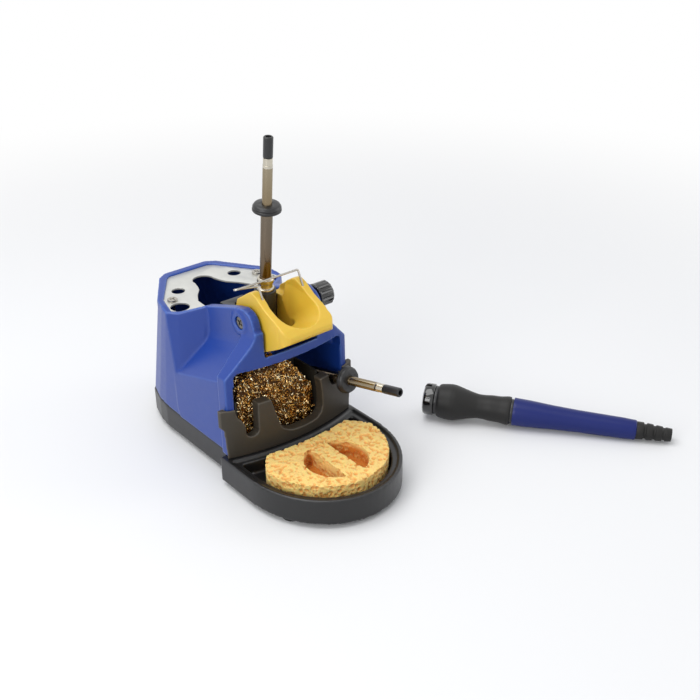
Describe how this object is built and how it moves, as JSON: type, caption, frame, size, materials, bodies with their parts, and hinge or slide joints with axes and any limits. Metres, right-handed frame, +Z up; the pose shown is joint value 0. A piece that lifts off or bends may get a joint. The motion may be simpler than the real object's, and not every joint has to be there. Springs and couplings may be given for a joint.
{
  "type": "soldering iron station",
  "caption": "Bench stand for a soldering iron: weighted base with sponge tray, tilting funnel rest, wire wool, slots and a plate for spare tips, with tips and handpiece.",
  "frame": {"origin": "on the bench, under the stand's tilting rest, at the mount bench_centre", "axes": "+Z up; -Y towards the sponge tray, the user's side; +X towards the clamp knob and the handpiece"},
  "size_m": [0.2354, 0.255, 0.1964],
  "materials": {
    "black_plastic": "satin moulded",
    "steel": "plated, satin",
    "rubber": "matte",
    "blue_plastic": "satin moulded",
    "soft_black": "soft, matte",
    "dark_steel": "dark, matte",
    "brass_wool": null,
    "sponge": "open-pored cellulose",
    "galvanised": "galvanised, satin",
    "yellow_plastic": "satin moulded",
    "nickel": "nickel plated",
    "gloss_black": "glossy",
    "tip_steel": "heat tinted steel tube",
    "iron_point": "iron plated, tinned point"
  },
  "bodies": {
    "stand": {"base": "black_plastic", "base_weight": "steel", "foot_front_left": "rubber", "foot_front_right": "rubber", "foot_rear_left": "rubber", "foot_rear_right": "rubber", "base_screw_left": "steel", "base_screw_right": "steel", "housing": "blue_plastic", "slot_plate": "soft_black", "wool_case": "dark_steel", "brass_wool": "brass_wool", "tip_plate": "galvanised", "plate_screw_left": "steel", "plate_screw_right": "steel", "cavity_bracket": "black_plastic", "pivot_screw": "steel"},
    "iron_rest": {"receptacle": "yellow_plastic", "bush_carrier": "black_plastic", "bush": "nickel", "wire_bail": "steel"},
    "knob": {"pivot_bolt": "steel", "clamp_knob": "gloss_black", "knob_washer": "steel"},
    "upright_tip": {"upright_tube": "tip_steel", "upright_collar": "black_plastic", "upright_band": "nickel", "upright_contact": "black_plastic", "upright_point": "iron_point"},
    "stored_tip": {"stored_tube": "tip_steel", "stored_collar": "black_plastic", "stored_band": "nickel", "stored_contact": "black_plastic", "stored_point": "iron_point"},
    "wet_sponge": {"sponge": "sponge"},
    "handpiece": {"hand_grip": "soft_black", "grip_band": "black_plastic", "hand_handle": "blue_plastic", "handle_ring": "black_plastic", "cord_relief": "soft_black", "contact_socket": "nickel"},
    "nose": {"nose_ring": "gloss_black"}
  },
  "joints": [
    {"name": "rest_tilt", "type": "hinge", "parent": "stand", "child": "iron_rest", "pos_m": [0, -0.0045, 0.0945], "axis": [1, 0, 0], "range_deg": [0, 12]},
    {"name": "knob_turn", "type": "hinge", "parent": "stand", "child": "knob", "pos_m": [0.032, -0.0045, 0.0945], "axis": [1, 0, 0], "continuous": true},
    {"name": "upright_tip_lift", "type": "slide", "parent": "iron_rest", "child": "upright_tip", "axis": [0, -0.1149, 0.9934], "range_m": [0, 0.1]},
    {"name": "stored_tip_pull", "type": "slide", "parent": "stand", "child": "stored_tip", "axis": [0.1406, -0.9756, 0.1685], "range_m": [0, 0.1]},
    {"name": "sponge_lift", "type": "slide", "parent": "stand", "child": "wet_sponge", "axis": [0, 0, 1], "range_m": [0, 0.014]},
    {"name": "handpiece_lift", "type": "slide", "parent": "stand", "child": "handpiece", "axis": [0, 0, 1], "range_m": [0, 0.1]},
    {"name": "nose_turn", "type": "hinge", "parent": "handpiece", "child": "nose", "pos_m": [0.09551, -0.03269, 0.01202], "axis": [0.6026, -0.7967, -0.0466], "range_deg": [0, 30]}
  ]
}
